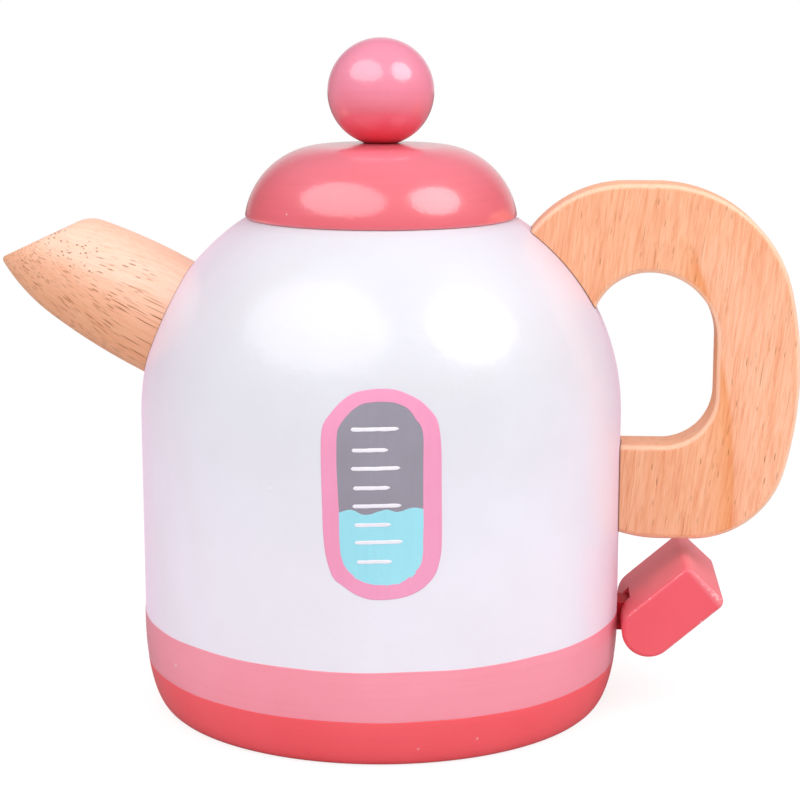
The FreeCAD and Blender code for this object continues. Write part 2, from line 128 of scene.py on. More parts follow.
# Gloss enamel, sprayed on and touched in by brush. It gives the eye an even colour with a slow drift,
# faint brush strokes, an orange-peel skin that frays the highlights, and a few dust nibs.
def glossPaint(name, look):
    material, tree = newMaterial(name)
    place = addNode(tree, "TexCoord")
    drift = addNode(tree, "TexNoise", {"Scale": 1 / (look["driftSize"] * mm), "Detail": 3.0}, {"Vector": place.outputs["Object"]})
    tone = addNode(tree, "ValToRGB", {"stops": [(0.3, look["shade"]), (0.7, look["colour"])]}, {"Fac": drift.outputs["Fac"]}).outputs["Color"]
    if "fade" in look:
        # the colour is multiplied by a ramp over height: painted shade and painted light, standing in for how the light
        # falls from top to bottom of the piece
        apart = addNode(tree, "SeparateXYZ", {}, {"Vector": place.outputs["Object"]})
        low, high = look["fadeHeights"]
        height = addNode(tree, "MapRange", {"From Min": low * mm, "From Max": high * mm}, {"Value": apart.outputs["Z"]})
        blend = addNode(tree, "TexNoise", {"Scale": 1 / (8 * mm), "Detail": 2.0}, {"Vector": place.outputs["Object"]})
        ragged = addNode(tree, "Math", {"operation": "MULTIPLY_ADD", 1: 0.08}, {0: blend.outputs["Fac"], 2: height.outputs["Result"]})
        paintedShade = addNode(tree, "ValToRGB", {"stops": look["fade"]}, {"Fac": ragged.outputs["Value"]})
        tone = addNode(tree, "MixRGB", {"blend_type": "MULTIPLY", "Fac": 1.0}, {"Color1": tone, "Color2": paintedShade.outputs["Color"]}).outputs["Color"]
    strokeAxes = addNode(tree, "Mapping", {"Scale": [1 / (s * mm) for s in look["strokeSize"]]}, {"Vector": place.outputs["Object"]})
    strokes = addNode(tree, "TexNoise", {"Scale": 1.0, "Detail": 4.0, "Roughness": 0.6}, {"Vector": strokeAxes.outputs["Vector"]})
    strokeTone = addNode(tree, "ValToRGB", {"stops": [(0.35, look["strokeShade"]), (0.6, "#ffffff")]}, {"Fac": strokes.outputs["Fac"]})
    tone = addNode(tree, "MixRGB", {"blend_type": "MULTIPLY", "Fac": look["strokeDepth"]}, {"Color1": tone, "Color2": strokeTone.outputs["Color"]}).outputs["Color"]
    if "box" in look:
        tone = edgeHighlightAndWear(tree, place, tone, look)
    # one dust nib in a cell, most cells left out
    nibCells = addNode(tree, "TexVoronoi", {"Scale": 1 / (look["nibSpacing"] * mm)}, {"Vector": place.outputs["Object"]})
    nibDot = addNode(tree, "MapRange", {"From Min": look["nibSize"] * 0.5, "From Max": look["nibSize"], "To Min": 1.0, "To Max": 0.0}, {"Value": nibCells.outputs["Distance"]})
    nibPick = addNode(tree, "SeparateColor", {}, {"Color": nibCells.outputs["Color"]})
    nibFew = addNode(tree, "Math", {"operation": "GREATER_THAN", 1: look["nibShare"]}, {0: nibPick.outputs["Red"]})
    nibs = addNode(tree, "Math", {"operation": "MULTIPLY"}, {0: nibDot.outputs["Result"], 1: nibFew.outputs["Value"]})
    tone = addNode(tree, "MixRGB", {"Color2": linearColour(look["nibColour"])}, {"Fac": nibs.outputs["Value"], "Color1": tone}).outputs["Color"]
    peel = addNode(tree, "TexNoise", {"Scale": 1 / (look["peelSize"] * mm), "Detail": 2.0}, {"Vector": place.outputs["Object"]})
    peelBump = addNode(tree, "Bump", {"Distance": look["peelDepth"] * mm}, {"Height": peel.outputs["Fac"]})
    strokeBump = addNode(tree, "Bump", {"Distance": look["strokeRelief"] * mm}, {"Height": strokes.outputs["Fac"], "Normal": peelBump.outputs["Normal"]})
    nibBump = addNode(tree, "Bump", {"Distance": look["nibRelief"] * mm}, {"Height": nibs.outputs["Value"], "Normal": strokeBump.outputs["Normal"]})
    sheenNoise = addNode(tree, "TexNoise", {"Scale": 1 / (9 * mm), "Detail": 4.0}, {"Vector": place.outputs["Object"]})
    sheen = addNode(tree, "MapRange", {"To Min": look["roughness"][0], "To Max": look["roughness"][1]}, {"Value": sheenNoise.outputs["Fac"]})
    gloss = {"IOR": look["ior"], "Coat Weight": look["coat"], "Coat Roughness": look["coatRoughness"], "Coat IOR": look["coatIor"], "Sheen Weight": look["sheen"],
             "Sheen Roughness": 0.5, "Sheen Tint": linearColour(look["sheenTint"])}
    shader = addNode(tree, "BsdfPrincipled", gloss, {"Base Color": tone, "Roughness": sheen.outputs["Result"], "Normal": nibBump.outputs["Normal"],
                                                  "Coat Normal": nibBump.outputs["Normal"]})
    addNode(tree, "OutputMaterial", {}, {"Surface": shader.outputs["BSDF"]})
    return material


# The edges of a block get a paler line along them, a painted highlight, and the paint is rubbed through in short chips
def edgeHighlightAndWear(tree, place, tone, look):
    box = look["box"]
    local = addNode(tree, "Mapping", {"vector_type": "TEXTURE", "Location": Vector(box["middle"]) * mm, "Rotation": (0, math.radians(box["turnDeg"]), 0),
                                      "Scale": (mm, mm, mm)}, {"Vector": place.outputs["Object"]})
    away = addNode(tree, "VectorMath", {"operation": "ABSOLUTE"}, {0: local.outputs["Vector"]})
    inside = addNode(tree, "VectorMath", {"operation": "SUBTRACT", 0: box["half"]}, {1: away.outputs["Vector"]})
    depths = addNode(tree, "SeparateXYZ", {}, {"Vector": inside.outputs["Vector"]})
    pairs = [addNode(tree, "Math", {"operation": "MAXIMUM"}, {0: depths.outputs[a], 1: depths.outputs[b]}) for a, b in ("XY", "XZ", "YZ")]
    nearer = addNode(tree, "Math", {"operation": "MINIMUM"}, {0: pairs[0].outputs["Value"], 1: pairs[1].outputs["Value"]})
    nearest = addNode(tree, "Math", {"operation": "MINIMUM"}, {0: nearer.outputs["Value"], 1: pairs[2].outputs["Value"]})
    nearEdge = addNode(tree, "MapRange", {"From Min": box["wide"], "From Max": box["wide"] * 0.3, "To Max": box["strength"]}, {"Value": nearest.outputs["Value"]})
    paler = addNode(tree, "MixRGB", {"Color2": linearColour(look["edge"])}, {"Fac": nearEdge.outputs["Result"], "Color1": tone})
    # the end face is painted paler too: a painted reflection of the light on the end face
    endwise = addNode(tree, "SeparateXYZ", {}, {"Vector": local.outputs["Vector"]})
    endFaceLight = addNode(tree, "MapRange", {"From Min": box["endFrom"], "From Max": box["endFrom"] + 0.5, "To Max": box["endPaintedLight"]}, {"Value": endwise.outputs["X"]})
    paler = addNode(tree, "MixRGB", {"Color2": linearColour(look["edge"])}, {"Fac": endFaceLight.outputs["Result"], "Color1": paler.outputs["Color"]})
    rub = addNode(tree, "TexNoise", {"Scale": 1.1, "Detail": 3.0}, {"Vector": local.outputs["Vector"]})
    bare = addNode(tree, "MapRange", {"From Min": 0.6, "From Max": 0.65}, {"Value": rub.outputs["Fac"]})
    chips = addNode(tree, "Math", {"operation": "MULTIPLY"}, {0: nearEdge.outputs["Result"], 1: bare.outputs["Result"]})
    return addNode(tree, "MixRGB", {"Color2": linearColour(look["chip"])}, {"Fac": chips.outputs["Value"], "Color1": paler.outputs["Color"]}).outputs["Color"]


# strokes go round the turned pieces, so they change fast with height and slowly across
turnedStroke = (60, 60, 0.8)
uprightStroke = (1.4, 1.4, 30)

paintCommon = {
    "driftSize": 22, "strokeSize": turnedStroke, "strokeDepth": 0.12, "strokeShade": "#e6dde1", "strokeRelief": 0.006,
    "nibSpacing": 6.0, "nibSize": 0.07, "nibShare": 0.75, "nibColour": "#f6dfe4", "nibRelief": 0.05,
    "peelSize": 0.9, "peelDepth": 0.03, "roughness": (0.36, 0.46), "ior": 1.5, "coat": 1.0, "coatRoughness": 0.15, "coatIor": 1.8, "sheen": 0.0, "sheenTint": "#ffffff",
}


# Sanded and oiled rubberwood. It gives the eye pale pinkish straw, one or two soft growth bands, hair-fine
# fibres, and the short dark pores of the wood: dashes along the grain, and dots where the fibres come out.
def oiledWood(name, look):
    material, tree = newMaterial(name)
    place = addNode(tree, "TexCoord")
    upright = addNode(tree, "VectorMath", {"operation": "SCALE", "Scale": 1 / mm}, {0: place.outputs["Object"]})
    uprightParts = addNode(tree, "SeparateXYZ", {}, {"Vector": upright.outputs["Vector"]})
    local = addNode(tree, "Mapping", {"vector_type": "TEXTURE", "Location": look["origin"],
                                      "Rotation": (0, math.radians(look["grainTurnDeg"]), 0)}, {"Vector": upright.outputs["Vector"]})
    parts = addNode(tree, "SeparateXYZ", {}, {"Vector": local.outputs["Vector"]})
    # the grain draws together towards the far end
    along = addNode(tree, "Math", {"operation": "MAXIMUM", 1: 0.0}, {0: parts.outputs["Z"]})
    alongSquared = addNode(tree, "Math", {"operation": "POWER", 1: 2.0}, {0: along.outputs["Value"]})
    narrowing = addNode(tree, "Math", {"operation": "MULTIPLY_ADD", 1: look["narrowing"], 2: 1.0}, {0: alongSquared.outputs["Value"]})
    side = addNode(tree, "Math", {"operation": "MULTIPLY"}, {0: parts.outputs["X"], 1: narrowing.outputs["Value"]})
    grain = addNode(tree, "CombineXYZ", {}, {"X": side.outputs["Value"], "Y": parts.outputs["Y"], "Z": parts.outputs["Z"]})
    wander = addNode(tree, "TexNoise", {"Scale": 1 / 18, "Detail": 2.0}, {"Vector": local.outputs["Vector"]})
    bent = addNode(tree, "VectorMath", {"operation": "MULTIPLY_ADD", 1: (look["wander"],) * 3}, {0: wander.outputs["Color"], 2: grain.outputs["Vector"]})
    # growth bands: each goes from pale to orange, then back at its growth line; on the spout the one broad band also
    # holds painted shade low down and painted light on top
    ringParts = uprightParts if look["ringsUpright"] else parts
    fromFoot = addNode(tree, "Math", {"operation": "SUBTRACT", 1: look["ringFoot"]}, {0: ringParts.outputs["Z"]})
    bow = addNode(tree, "Math", {"operation": "POWER", 1: 2.0}, {0: fromFoot.outputs["Value"]})
    across = addNode(tree, "Math", {"operation": "MULTIPLY_ADD", 1: look["ringBow"]}, {0: bow.outputs["Value"], 2: ringParts.outputs["X"]})
    tilted = addNode(tree, "Math", {"operation": "MULTIPLY_ADD", 1: look["ringTilt"]}, {0: parts.outputs["Y"], 2: across.outputs["Value"]})
    leaning = addNode(tree, "Math", {"operation": "MULTIPLY_ADD", 1: look["ringLean"]}, {0: parts.outputs["Z"], 2: tilted.outputs["Value"]})
    ragged = addNode(tree, "Math", {"operation": "MULTIPLY_ADD", 1: look["ringWander"]}, {0: wander.outputs["Fac"], 2: leaning.outputs["Value"]})
    ringCount = addNode(tree, "Math", {"operation": "MULTIPLY_ADD", 1: 1 / look["ringPitch"], 2: look["ringStart"]}, {0: ragged.outputs["Value"]})
    ringShare = addNode(tree, "Math", {"operation": "FRACT"}, {0: ringCount.outputs["Value"]})
    tone = addNode(tree, "ValToRGB", {"stops": look["rings"]}, {"Fac": ringShare.outputs["Value"]}).outputs["Color"]
    if "ringFade" in look:
        # the growth line dies out towards the top
        plain, full = look["ringFade"]
        kept = addNode(tree, "MapRange", {"From Min": plain, "From Max": full}, {"Value": uprightParts.outputs["Z"]})
        tone = addNode(tree, "MixRGB", {"Color1": linearColour(look["plain"])}, {"Fac": kept.outputs["Result"], "Color2": tone}).outputs["Color"]
    # fibres: hair-fine streaks over broader ones
    for streak in look["streaks"]:
        axes = addNode(tree, "Mapping", {"Scale": (1 / streak["wide"], 1 / streak["wide"], 1 / streak["long"])}, {"Vector": bent.outputs["Vector"]})
        fibres = addNode(tree, "TexNoise", {"Scale": 1.0, "Detail": 3.0, "Roughness": 0.6}, {"Vector": axes.outputs["Vector"]})
        fibreTone = addNode(tree, "ValToRGB", {"stops": [(0.36, streak["colour"]), (0.56, "#ffffff")]}, {"Fac": fibres.outputs["Fac"]})
        tone = addNode(tree, "MixRGB", {"blend_type": "MULTIPLY", "Fac": streak["depth"]}, {"Color1": tone, "Color2": fibreTone.outputs["Color"]}).outputs["Color"]
    # pores lie thick in some zones of the growth and thin in others
    patchAxes = addNode(tree, "Mapping", {"Scale": (1 / 7, 1 / 7, 1 / 40)}, {"Vector": bent.outputs["Vector"]})
    patches = addNode(tree, "TexNoise", {"Scale": 1.0, "Detail": 1.0}, {"Vector": patchAxes.outputs["Vector"]})
    patch = addNode(tree, "MapRange", {"From Min": 0.35, "From Max": 0.6, "To Min": look["poreFewest"]}, {"Value": patches.outputs["Fac"]})
    allPores = None
    for layer in look["pores"]:
        scale = [1 / layer["apart"], 1 / layer["apart"], 1 / layer["long"]]
        if layer.get("toFront"):
            scale = [scale[0], scale[2], scale[1]]
        axes = addNode(tree, "Mapping", {"Location": layer["shift"], "Scale": scale}, {"Vector": bent.outputs["Vector"]})
        cells = addNode(tree, "TexVoronoi", {"Scale": 1.0}, {"Vector": axes.outputs["Vector"]})
        dot = addNode(tree, "MapRange", {"From Min": layer["size"] * 0.6, "From Max": layer["size"], "To Min": 1.0, "To Max": 0.0}, {"Value": cells.outputs["Distance"]})
        pick = addNode(tree, "SeparateColor", {}, {"Color": cells.outputs["Color"]})
        kept = addNode(tree, "MapRange", {"From Min": layer["fewer"], "From Max": 0.5 + layer["fewer"] / 2, "To Max": layer["dark"]}, {"Value": pick.outputs["Red"]})
        zoned = addNode(tree, "Math", {"operation": "MULTIPLY"}, {0: kept.outputs["Result"], 1: patch.outputs["Result"]})
        for axis, gone, full in layer.get("fades", []):
            zone = addNode(tree, "MapRange", {"From Min": gone, "From Max": full}, {"Value": parts.outputs[axis]})
            zoned = addNode(tree, "Math", {"operation": "MULTIPLY"}, {0: zoned.outputs["Value"], 1: zone.outputs["Result"]})
        pores = addNode(tree, "Math", {"operation": "MULTIPLY"}, {0: dot.outputs["Result"], 1: zoned.outputs["Value"]})
        tone = addNode(tree, "MixRGB", {"Color2": linearColour(layer["colour"])}, {"Fac": pores.outputs["Value"], "Color1": tone}).outputs["Color"]
        allPores = pores if allPores is None else addNode(tree, "Math", {"operation": "MAXIMUM"}, {0: allPores.outputs["Value"], 1: pores.outputs["Value"]})
    if "easedFrom" in look:
        # the board's eased edges are painted paler: a painted highlight along them
        depth = addNode(tree, "Math", {"operation": "ABSOLUTE"}, {0: uprightParts.outputs["Y"]})
        low, high = look["easedFrom"], look["easedTo"]
        rise = addNode(tree, "MapRange", {"From Min": low, "From Max": low + 0.3}, {"Value": depth.outputs["Value"]})
        fall = addNode(tree, "MapRange", {"From Min": high - 0.2, "From Max": high - 0.03, "To Min": look["easedHighlightStrength"], "To Max": 0.0}, {"Value": depth.outputs["Value"]})
        easedHighlight = addNode(tree, "Math", {"operation": "MULTIPLY"}, {0: rise.outputs["Result"], 1: fall.outputs["Result"]})
        tone = addNode(tree, "MixRGB", {"Color2": linearColour(look["easedHighlightColour"])}, {"Fac": easedHighlight.outputs["Value"], "Color1": tone}).outputs["Color"]
    if "seam" in look:
        # the wood is darkened where it meets the body's wall: a dark glue line at the joint, with painted shade in the
        # crevice
        level = addNode(tree, "VectorMath", {"operation": "MULTIPLY", 1: (1, 1, 0)}, {0: upright.outputs["Vector"]})
        reach = addNode(tree, "VectorMath", {"operation": "LENGTH"}, {0: level.outputs["Vector"]})
        above = addNode(tree, "Math", {"operation": "SUBTRACT", 1: body["domeStart"]}, {0: uprightParts.outputs["Z"]})
        rise = addNode(tree, "Math", {"operation": "MAXIMUM", 1: 0.0}, {0: above.outputs["Value"]})
        riseSquared = addNode(tree, "Math", {"operation": "POWER", 1: 2.0}, {0: rise.outputs["Value"]})
        left = addNode(tree, "Math", {"operation": "SUBTRACT", 0: body["domeRadius"] ** 2}, {1: riseSquared.outputs["Value"]})
        chord = addNode(tree, "Math", {"operation": "SQRT"}, {0: left.outputs["Value"]})
        wall = addNode(tree, "Math", {"operation": "ADD", 1: body["radius"] - body["domeRadius"]}, {0: chord.outputs["Value"]})
        gap = addNode(tree, "Math", {"operation": "SUBTRACT"}, {0: reach.outputs["Value"], 1: wall.outputs["Value"]})
        jointLineAndShade = addNode(tree, "MapRange", {"From Min": look["seam"], "From Max": look["seam"] * 0.3, "To Max": look["seamStrength"]}, {"Value": gap.outputs["Value"]})
        tone = addNode(tree, "MixRGB", {"Color2": linearColour(look["seamColour"])}, {"Fac": jointLineAndShade.outputs["Result"], "Color1": tone}).outputs["Color"]
    fibreBump = addNode(tree, "Bump", {"Distance": 0.012 * mm}, {"Height": fibres.outputs["Fac"]})
    poreBump = addNode(tree, "Bump", {"Distance": 0.08 * mm, "invert": True}, {"Height": allPores.outputs["Value"], "Normal": fibreBump.outputs["Normal"]})
    sheen = addNode(tree, "MapRange", {"To Min": look["roughness"][0], "To Max": look["roughness"][1]}, {"Value": fibres.outputs["Fac"]})
    shader = addNode(tree, "BsdfPrincipled", {"IOR": 1.42, "Coat Weight": look["oil"], "Coat Roughness": 0.35},
                     {"Base Color": tone, "Roughness": sheen.outputs["Result"], "Normal": poreBump.outputs["Normal"]})
    addNode(tree, "OutputMaterial", {}, {"Surface": shader.outputs["BSDF"]})
    return material


# pores are drawn about a third wider than real ones, so that they hold up at this distance
dashes = {"shift": (0, 0, 0), "apart": 0.7, "long": 5, "size": 0.21, "fewer": 0.45, "dark": 0.8, "colour": "#bb7a4c"}
hairs = {"shift": (3.1, 7.7, 1.3), "apart": 0.62, "long": 26, "size": 0.17, "fewer": 0.35, "dark": 0.75, "colour": "#c5855c"}
fineStreak = {"wide": 0.28, "long": 7, "depth": 0.5, "colour": "#efcbb2"}
broadStreak = {"wide": 1.3, "long": 22, "depth": 0.35, "colour": "#f4d2ba"}
woodCommon = {
    "origin": (0, 0, 0), "grainTurnDeg": 0, "narrowing": 0.0, "wander": 1.2,
    "ringsUpright": False, "ringFoot": 0, "ringBow": 0.0, "ringTilt": 0.0, "ringLean": 0.0, "ringPitch": 14, "ringStart": 0.0, "ringWander": 2.0,
    "rings": [(0.0, "#fac5a4"), (0.45, "#f9bd97"), (0.9, "#f4ac7c"), (1.0, "#f9bd97")],
    "streaks": [broadStreak, fineStreak], "pores": [hairs, dashes], "poreFewest": 0.1,
    "roughness": (0.42, 0.55), "oil": 0.1,
}


# Drawn steel pin: bright, with fine lines along its length
def drawnSteel(name, look):
    material, tree = newMaterial(name)
    place = addNode(tree, "TexCoord")
    axes = addNode(tree, "Mapping", {"Scale": (1 / (0.1 * mm), 1 / (6 * mm), 1 / (0.1 * mm))}, {"Vector": place.outputs["Object"]})
    lines = addNode(tree, "TexNoise", {"Scale": 1.0, "Detail": 3.0}, {"Vector": axes.outputs["Vector"]})
    tone = addNode(tree, "ValToRGB", {"stops": [(0.3, look["shade"]), (0.7, look["colour"])]}, {"Fac": lines.outputs["Fac"]})
    sheen = addNode(tree, "MapRange", {"To Min": 0.22, "To Max": 0.38}, {"Value": lines.outputs["Fac"]})
    bump = addNode(tree, "Bump", {"Distance": 0.005 * mm}, {"Height": lines.outputs["Fac"]})
    shader = addNode(tree, "BsdfPrincipled", {"Metallic": 1.0}, {"Base Color": tone.outputs["Color"], "Roughness": sheen.outputs["Result"], "Normal": bump.outputs["Normal"]})
    addNode(tree, "OutputMaterial", {}, {"Surface": shader.outputs["BSDF"]})
    return material


print("looks ready")


body = {
    "radius": 54.0, "footWidth": 5.2, "footHeight": 19.5, "domeStart": 66.3, "domeRadius": 51.6, "shoulder": 109.9,
    "shoulderRound": 0.5, "boreRadius": 25.0, "boreFloor": 14.0, "mouthRound": 0.8, "boreCorner": 1.0, "around": 256,
}
# the height ramp darkens the dome a little: painted shade against the stronger light from above
bodyPaint = dict(paintCommon, colour="#ece9f4", shade="#e9e5ee", fadeHeights=(40, 82), fade=[(0.0, "#ffffff"), (0.4, "#fbfdfe"), (1.0, "#f1f5f2")], strokeSize=(9, 9, 14), strokeDepth=0.05, nibColour="#eae6ee", nibSpacing=9.0,
                 roughness=(0.4, 0.5), coat=0.5, coatRoughness=0.17, peelDepth=0.06, peelSize=2.2, sheen=1.0, sheenTint="#ffdcf8")
boreWood = dict(woodCommon, ringPitch=11, ringTilt=0.4, ringWander=6.0, roughness=(0.6, 0.75), oil=0.0, rings=[(0.0, "#f4cbab"), (0.5, "#efbf99"), (1.0, "#f4cbab")])
bareRubberwood = oiledWood("rubberwood_bare", boreWood)


def bodyOutline():
    # outside of the body from the underside's edge up to the shoulder
    points = []
    for i in range(49):
        angle = math.radians(90 - 90 * i / 48)
        points.append((body["radius"] - body["footWidth"] * (1 - math.cos(angle)), body["footHeight"] * (1 - math.sin(angle))))
    straight = body["domeStart"] - body["footHeight"]
    points += [(body["radius"], body["footHeight"] + straight * i / 24) for i in range(1, 25)]
    centre = (body["radius"] - body["domeRadius"], body["domeStart"])
    topDeg = math.degrees(math.asin((body["shoulder"] - centre[1]) / body["domeRadius"]))
    return points + arcPoints(centre, body["domeRadius"], 0, topDeg, 40)[1:]


def wallRadius(height):
    rise = max(0.0, height - body["domeStart"])
    return body["radius"] - body["domeRadius"] + math.sqrt(body["domeRadius"] ** 2 - rise ** 2)


def makeBody():
    outline = bodyOutline()
    edgeRadius = outline[-1][0]
    soft = body["shoulderRound"]
    # the shoulder's edge is rubbed round where the lid sits on it
    trimmed = [p for p in outline if p[1] < body["shoulder"] - soft]
    rub = arcPoints((edgeRadius - soft * 0.7, body["shoulder"] - soft), soft, 35, 90, 5)
    profile = [(0, 0, 1), (20, 0, 1), (40, 0, 1), (47.2, 0, 1)] + [(r, z, 0) for r, z in trimmed + rub]
    mouth = body["boreRadius"] + body["mouthRound"]
    profile += [(28, body["shoulder"], 0), (mouth + 0.3, body["shoulder"], 1)]
    profile += [(r, z, 1) for r, z in arcPoints((mouth, body["shoulder"] - body["mouthRound"]), body["mouthRound"], 90, 180, 5)]
    corner = body["boreCorner"]
    depth = body["shoulder"] - body["boreFloor"]
    profile += [(body["boreRadius"], body["shoulder"] - 1 - (depth - 2.2) * i / 12, 1) for i in range(13)]
    profile += [(r, z, 1) for r, z in arcPoints((body["boreRadius"] - corner, body["boreFloor"] + corner), corner, 0, -90, 4)]
    profile += [(12, body["boreFloor"], 1), (0, body["boreFloor"], 1)]
    piece = turnedPiece("body_turned", profile, body["around"], [glossPaint("white_gloss_enamel", bodyPaint), bareRubberwood])
    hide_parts("body")
    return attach(piece, "kettle")


makeBody()
print("body made")


# painted bands round the foot
bands = {
    "coral": {"low": 0.0, "high": 10.6, "thick": 0.15, "wobble": 0.10},
    "pink": {"low": 10.5, "high": 21.5, "thick": 0.10, "wobble": 0.13},
    "lip": 0.35, "around": 384, "rows": 18,
}
coralPaint = dict(paintCommon, colour="#fb5862", shade="#f8505a", nibColour="#f7a9ae", coat=0.3)
pinkPaint = dict(paintCommon, colour="#f998aa", shade="#f68fa2", nibColour="#f8c6d2", coat=0.3)
coralEnamel = glossPaint("coral_gloss_enamel_foot", coralPaint)
pinkEnamel = glossPaint("pink_gloss_enamel", pinkPaint)


def paintBand(name, look, material, node, seed):
    # a paint film that follows the wall, with rounded lips and masked edges that wander slightly
    outline = bodyOutline()
    lengths = [0.0]
    for a, b in zip(outline, outline[1:]):
        lengths.append(lengths[-1] + math.dist(a, b))

    def atHeight(height):
        for k in range(len(outline) - 1):
            if outline[k][1] <= height <= outline[k + 1][1]:
                share = (height - outline[k][1]) / (outline[k + 1][1] - outline[k][1])
                return lengths[k] + share * (lengths[k + 1] - lengths[k])

    def onWall(length):
        length = min(max(length, 0.0), lengths[-1] - 1e-6)
        k = max(i for i in range(len(lengths)) if lengths[i] <= length)
        a, b = outline[k], outline[k + 1]
        share = (length - lengths[k]) / (lengths[k + 1] - lengths[k])
        run = (b[0] - a[0], b[1] - a[1])
        size = math.hypot(*run)
        return a[0] + run[0] * share, a[1] + run[1] * share, run[1] / size, -run[0] / size

    low, high = atHeight(look["low"]), atHeight(look["high"])
    lip = bands["lip"]
    rows = [0, lip * 0.2, lip * 0.5, lip]
    steps = [high - low - r for r in reversed(rows)]
    inner = [lip + (high - low - 2 * lip) * i / bands["rows"] for i in range(1, bands["rows"])]
    points, faces = [], []
    for row in rows + inner + steps:
        fromEdge = min(row, high - low - row)
        lift = 0.01 + look["thick"] * math.sqrt(max(0.0, 1 - (1 - min(1.0, fromEdge / lip)) ** 2))
        for j in range(bands["around"]):
            turn = 2 * math.pi * j / bands["around"]
            spot = Vector((math.cos(turn) * 4, math.sin(turn) * 4, seed + row / (high - low) * 3))
            stray = look["wobble"] * noise.noise(spot) * 2
            share = (row / (high - low)) ** 2 if look["low"] < 1 else 1.0
            r, z, nr, nz = onWall(low + row + stray * share)
            points.append(((r + nr * lift) * math.cos(turn), (r + nr * lift) * math.sin(turn), max(0.0, z + nz * lift)))
    count = len(rows + inner + steps)
    for k in range(count - 1):
        for j in range(bands["around"]):
            n = (j + 1) % bands["around"]
            a, b = k * bands["around"], (k + 1) * bands["around"]
            faces.append((a + j, a + n, b + n, b + j))
    piece = makePiece(name, points, faces, [material])
    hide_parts(node)
    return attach(piece, "kettle")


paintBand("foot_band_coral", bands["coral"], coralEnamel, "band_coral", 1.7)
paintBand("foot_band_pink", bands["pink"], pinkEnamel, "band_pink", 8.3)
print("bands painted")


# water gauge, painted by hand on the front
gauge = {
    "turnDeg": 4.5,
    # outlines as the brush left them: across and up, clockwise from the top
    "frame": [(0.15, 80.5), (3.2, 80.2), (6.2, 79.0), (8.2, 77.8), (10.1, 75.9), (11.3, 74.0), (11.9, 71.0), (12.15, 67.0), (12.2, 62.0), (12.25, 57.0),
              (12.3, 52.0), (12.25, 48.0), (11.95, 45.4), (11.0, 42.2), (8.9, 39.7), (6.4, 38.2), (3.7, 37.4), (0.5, 37.1), (-2.6, 37.2), (-5.6, 38.3),
              (-7.8, 39.8), (-9.7, 41.3), (-10.8, 43.9), (-11.5, 47.0), (-11.9, 51.5), (-12.05, 57.0), (-12.2, 63.0), (-12.25, 68.0), (-12.1, 71.6),
              (-11.5, 73.7), (-10.0, 75.8), (-8.2, 77.8), (-6.0, 79.4), (-3.3, 80.2)],
    "window": [(0.2, 77.9), (2.6, 77.7), (4.9, 76.8), (6.2, 75.5), (6.9, 74.4), (7.8, 73.2), (8.3, 71.8), (8.45, 69.5), (8.4, 65.0), (8.4, 60.0), (8.4, 55.0),
               (8.4, 50.5), (8.2, 46.2), (7.6, 44.0), (6.3, 42.6), (5.1, 41.5), (3.5, 40.6), (0.8, 40.35), (-2.0, 40.5), (-3.9, 41.0), (-5.7, 42.2),
               (-7.3, 44.1), (-8.1, 46.2), (-8.45, 50.0), (-8.55, 55.0), (-8.8, 60.0), (-9.0, 64.5), (-9.0, 68.5), (-8.85, 71.8), (-8.3, 73.2), (-7.3, 74.6),
               (-5.8, 76.2), (-3.9, 77.4), (-2.0, 77.8)],
    "waveTop": [(-9.2, 55.2), (-8.5, 55.3), (-6.1, 55.9), (-3.2, 54.9), (0.9, 56.0), (3.2, 55.5), (6.2, 56.3), (8.5, 56.0), (9.2, 56.0)],
    # strokes from the top: start, end, middle height
    "marks": [(-6.2, 3.6, 72.5), (-6.0, 1.4, 68.25), (-6.2, 3.9, 64.5), (-5.75, 1.8, 60.45), (-5.9, 4.1, 56.75), (-5.5, 2.0, 52.8), (-5.5, 4.4, 49.2), (-5.05, 2.2, 45.1)],
    "markHalf": 0.40, "markTiltDeg": 1.5, "lip": 0.22,
    "frameThick": 0.11, "windowThick": 0.05, "waterThick": 0.08, "markThick": 0.10,
}
filmCommon = dict(paintCommon, strokeSize=uprightStroke, strokeDepth=0.12, roughness=(0.42, 0.52), coat=0.05, nibSpacing=8.0)
ringPaint = dict(filmCommon, colour="#f29dc2", shade="#f096bb", nibColour="#f9c8dc")
greyPaint = dict(filmCommon, colour="#9a95a3", shade="#928c9a", nibColour="#b5b0be")
cyanPaint = dict(filmCommon, colour="#a0e2f0", shade="#97dcec", nibColour="#c4f0f6")
markPaint = dict(filmCommon, colour="#f4f1f8", shade="#ebe6f3", nibColour="#ffffff")


def smoothLoop(knots, count, closed=True):
    # a Catmull-Rom line through the knots
    points, total = [], len(knots) if closed else len(knots) - 1
    for i in range(count):
        place = total * i / (count if closed else count - 1)
        k = min(int(place), total - 1)
        t = place - k
        if closed:
            p = [Vector(knots[(k + d) % len(knots)]) for d in (-1, 0, 1, 2)]
        else:
            p = [Vector(knots[min(max(k + d, 0), len(knots) - 1)]) for d in (-1, 0, 1, 2)]
        points.append(0.5 * (2 * p[1] + (p[2] - p[0]) * t + (2 * p[0] - 5 * p[1] + 4 * p[2] - p[3]) * t * t + (3 * p[1] - p[0] - 3 * p[2] + p[3]) * t ** 3))
    return points


def onFront(across, height, lift):
    # straight back on to the wall, then out by the paint's thickness
    radius = wallRadius(height)
    depth = math.sqrt(radius ** 2 - across ** 2)
    grow = (radius + lift) / radius
    x, y = across * grow, -depth * grow
    turn = math.radians(gauge["turnDeg"])
    return x * math.cos(turn) - y * math.sin(turn), x * math.sin(turn) + y * math.cos(turn), height


